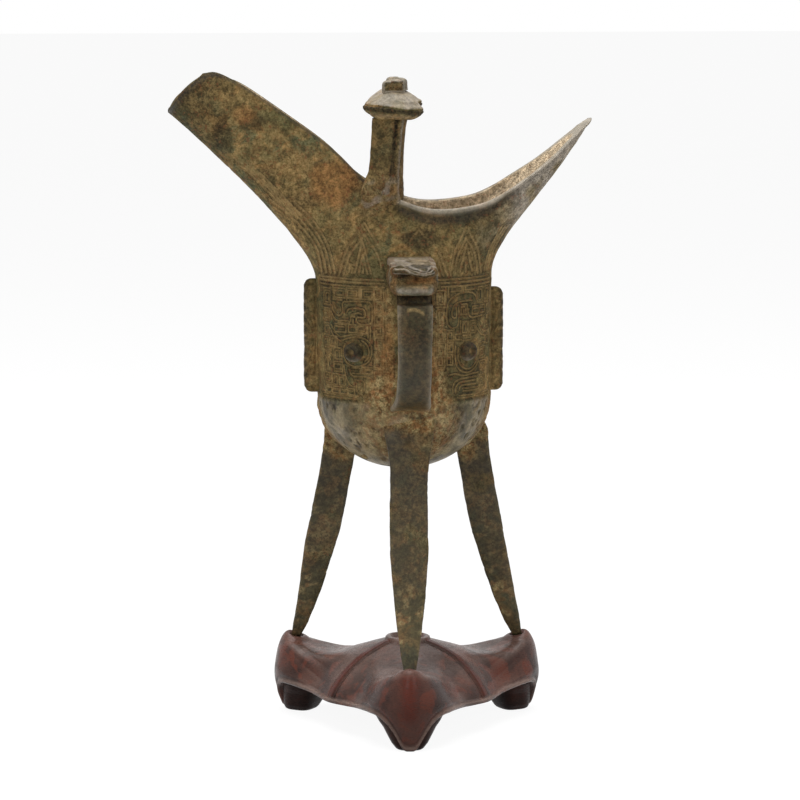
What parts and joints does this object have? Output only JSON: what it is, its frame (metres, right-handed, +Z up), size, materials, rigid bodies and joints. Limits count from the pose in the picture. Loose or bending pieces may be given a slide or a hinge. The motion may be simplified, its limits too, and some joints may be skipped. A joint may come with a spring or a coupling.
{
  "type": "ritual wine vessel on a stand",
  "caption": "Bronze wine cup of the jue form, with spout, pointed tail, capped posts, animal handle and sabre legs, lifted off its carved wooden stand.",
  "frame": {"origin": "middle of the bottom of the outer box, on the surface that the stand's feet rest on", "axes": "+X toward the tail's point, -X along the spout, -Y toward the handle, +Z up"},
  "size_m": [0.1398, 0.0834, 0.2185],
  "materials": {
    "bronze": "patinated, pitted satin",
    "dark_bronze": "dark handled patina, half gloss",
    "wood": "waxed satin"
  },
  "bodies": {
    "stand": {"stand_top": "wood", "stand_boss": "wood", "rib_near_spout": "wood", "rib_near_tail": "wood", "rib_back": "wood", "foot_front": "wood", "foot_spout": "wood", "foot_tail": "wood", "socket_front": "wood", "socket_spout": "wood", "socket_tail": "wood"},
    "vessel": {"bowl": "bronze", "spout": "bronze", "tail": "bronze", "post_near": "dark_bronze", "post_far": "dark_bronze", "cap_near": "bronze", "cap_far": "bronze", "knob_near": "dark_bronze", "knob_far": "dark_bronze", "handle_strap": "dark_bronze", "handle_head": "dark_bronze", "leg_front": "bronze", "leg_spout": "bronze", "leg_tail": "bronze", "flange_spout": "bronze", "flange_tail": "bronze", "flange_back": "bronze", "eye_near_spout": "dark_bronze", "eye_near_tail": "dark_bronze", "eye_far_spout": "dark_bronze", "eye_far_tail": "dark_bronze"}
  },
  "joints": [
    {"name": "vessel_lift", "type": "slide", "parent": "stand", "child": "vessel", "axis": [0, 0, 1], "range_m": [0, 0.07]}
  ]
}
